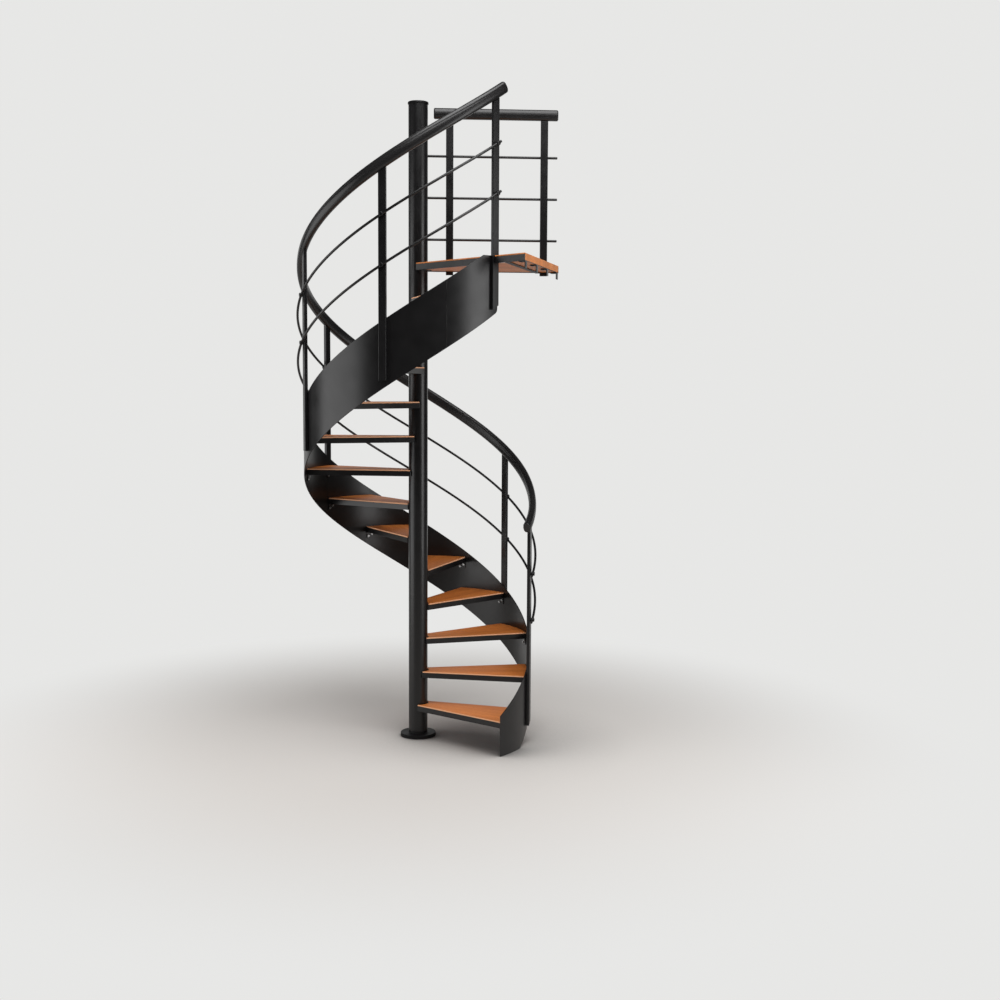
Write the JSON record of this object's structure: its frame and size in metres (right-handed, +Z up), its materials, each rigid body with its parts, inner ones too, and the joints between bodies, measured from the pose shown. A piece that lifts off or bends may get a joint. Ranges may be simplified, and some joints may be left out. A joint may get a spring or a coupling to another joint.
{
  "type": "spiral staircase",
  "caption": "Steel spiral staircase with wooden wedge treads, a helical outer stringer, a central column, a rod balustrade with an oval handrail, and a top landing.",
  "frame": {"origin": "the column's axis at the underside of its base flange, on the floor", "axes": "+Z up along the column, +X to the right along the landing's back edge, +Y away from the viewer; the stair climbs counter-clockwise seen from above"},
  "size_m": [1.6063, 1.5013, 3.9146],
  "materials": {
    "black_steel": "satin black powder coat",
    "oiled_wood": "warm orange-brown oiled hardwood",
    "handrail_black": "satin black moulded rail",
    "zinc_bolts": "bright zinc plate"
  },
  "bodies": {
    "root": {"base_flange": "black_steel", "column_tube": "black_steel", "column_cap": "black_steel", "tread_board_01": "oiled_wood", "tread_frame_01": "black_steel", "tread_board_02": "oiled_wood", "tread_frame_02": "black_steel", "tread_board_03": "oiled_wood", "tread_frame_03": "black_steel", "tread_board_04": "oiled_wood", "tread_frame_04": "black_steel", "tread_board_05": "oiled_wood", "tread_frame_05": "black_steel", "tread_board_06": "oiled_wood", "tread_frame_06": "black_steel", "tread_board_07": "oiled_wood", "tread_frame_07": "black_steel", "tread_board_08": "oiled_wood", "tread_frame_08": "black_steel", "tread_board_09": "oiled_wood", "tread_frame_09": "black_steel", "tread_board_10": "oiled_wood", "tread_frame_10": "black_steel", "tread_board_11": "oiled_wood", "tread_frame_11": "black_steel", "tread_board_12": "oiled_wood", "tread_frame_12": "black_steel", "tread_board_13": "oiled_wood", "tread_frame_13": "black_steel", "stringer_1": "black_steel", "stringer_2": "black_steel", "stringer_3": "black_steel", "stringer_4": "black_steel", "stair_posts": "black_steel", "handrail": "handrail_black", "lower_rod": "black_steel", "upper_rod": "black_steel", "rod_clamps": "black_steel", "landing_board": "oiled_wood", "landing_frame": "black_steel", "floor_cleats": "black_steel", "landing_posts": "black_steel", "landing_handrail": "handrail_black", "landing_rods": "black_steel", "landing_clamps": "black_steel"}
  },
  "joints": []
}
